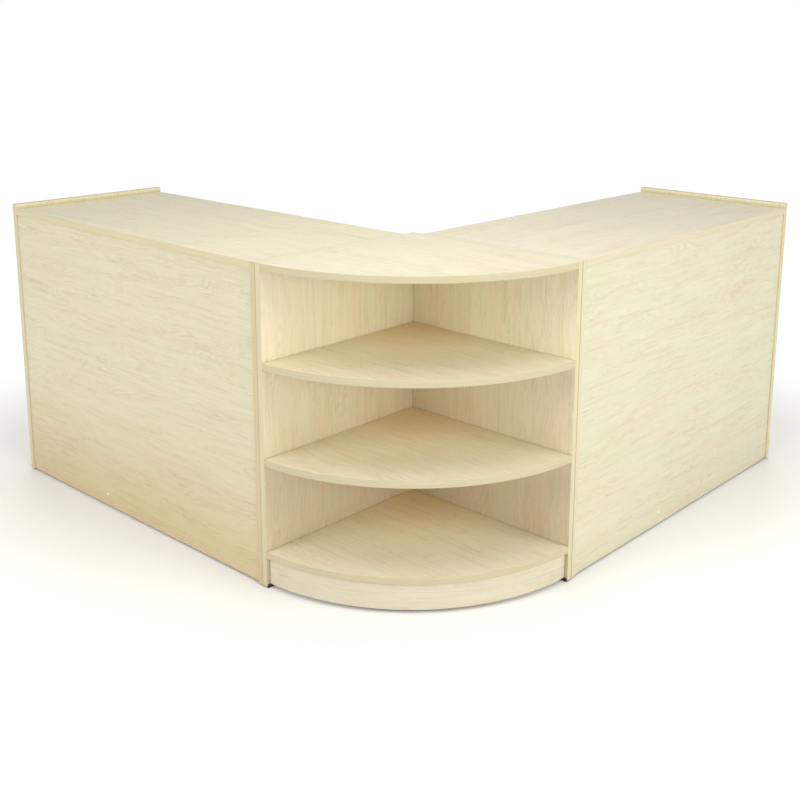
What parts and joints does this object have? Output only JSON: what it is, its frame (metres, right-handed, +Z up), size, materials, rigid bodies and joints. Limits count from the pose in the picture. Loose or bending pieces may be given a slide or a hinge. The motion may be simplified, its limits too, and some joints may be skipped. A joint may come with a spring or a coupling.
{
  "type": "checkout counter",
  "caption": "Retail checkout counter in an L, two straight counters with an open quarter-round shelf unit in the corner, open-backed for staff.",
  "frame": {"origin": "centre of the bounding square of the footprint, on the floor", "axes": "+Z up; the left counter runs along -X with its customer front facing -Y; the right counter runs along +Y with its customer front facing +X; staff stand on the -X +Y side"},
  "size_m": [1.788, 1.788, 0.9],
  "materials": {
    "front_board": "maple-effect melamine, grain along the board, satin",
    "shelf_board": "maple-effect melamine, grain along the board, satin",
    "upright_board": "maple-effect melamine, upright grain, satin",
    "plinth_board": "curved maple-effect facing, grain round the curve, satin",
    "edge_strip": "satin plastic, slightly more yellow than the boards",
    "maple_cap": "satin plastic",
    "white_cap": "white, glossy",
    "black_plastic": "black, matt",
    "nickel_plate": "bright nickel plate",
    "zinc_plated_steel": "bright zinc plate",
    "zinc_alloy": "as cast",
    "beech_dowel": "fluted beech, plain",
    "pine_block": "plain softwood"
  },
  "bodies": {
    "counter": {"corner_base_shelf": "shelf_board", "corner_base_shelf_edge_strip": "edge_strip", "corner_confirmat_screws": "zinc_plated_steel", "corner_glides": "black_plastic", "corner_left_side_edge_strips": "edge_strip", "corner_left_side_panel": "upright_board", "corner_lower_shelf": "shelf_board", "corner_lower_shelf_edge_strip": "edge_strip", "corner_plinth": "plinth_board", "corner_plinth_blocks": "pine_block", "corner_right_side_edge_strips": "edge_strip", "corner_right_side_panel": "upright_board", "corner_top": "shelf_board", "corner_top_edge_strip": "edge_strip", "corner_upper_shelf": "shelf_board", "corner_upper_shelf_edge_strip": "edge_strip", "front_screw_caps": "white_cap", "front_screws": "zinc_plated_steel", "joining_screws": "zinc_plated_steel", "left_base_rib": "front_board", "left_base_shelf": "shelf_board", "left_base_shelf_edge_strip": "edge_strip", "left_cam_bolts": "zinc_plated_steel", "left_cam_caps": "maple_cap", "left_cam_locks": "zinc_alloy", "left_dowels": "beech_dowel", "left_front_panel": "front_board", "left_glides": "black_plastic", "left_inner_end_edge_strips": "edge_strip", "left_inner_end_panel": "upright_board", "left_kick_rail": "front_board", "left_outer_end_edge_strips": "edge_strip", "left_outer_end_panel": "upright_board", "left_shelf_supports": "nickel_plate", "left_worktop": "shelf_board", "left_worktop_edge_strips": "edge_strip", "right_base_rib": "front_board", "right_base_shelf": "shelf_board", "right_base_shelf_edge_strip": "edge_strip", "right_cam_bolts": "zinc_plated_steel", "right_cam_caps": "maple_cap", "right_cam_locks": "zinc_alloy", "right_dowels": "beech_dowel", "right_front_panel": "front_board", "right_glides": "black_plastic", "right_inner_end_edge_strips": "edge_strip", "right_inner_end_panel": "upright_board", "right_kick_rail": "front_board", "right_outer_end_edge_strips": "edge_strip", "right_outer_end_panel": "upright_board", "right_shelf_supports": "nickel_plate", "right_worktop": "shelf_board", "right_worktop_edge_strips": "edge_strip"},
    "left_shelf": {"left_adjustable_shelf": "shelf_board", "left_adjustable_shelf_edge_strip": "edge_strip"},
    "right_shelf": {"right_adjustable_shelf": "shelf_board", "right_adjustable_shelf_edge_strip": "edge_strip"}
  },
  "joints": [
    {"name": "left_shelf_slide", "type": "slide", "parent": "counter", "child": "left_shelf", "axis": [0, 1, 0], "range_m": [0, 0.22]},
    {"name": "right_shelf_slide", "type": "slide", "parent": "counter", "child": "right_shelf", "axis": [-1, 0, 0], "range_m": [0, 0.22]}
  ]
}
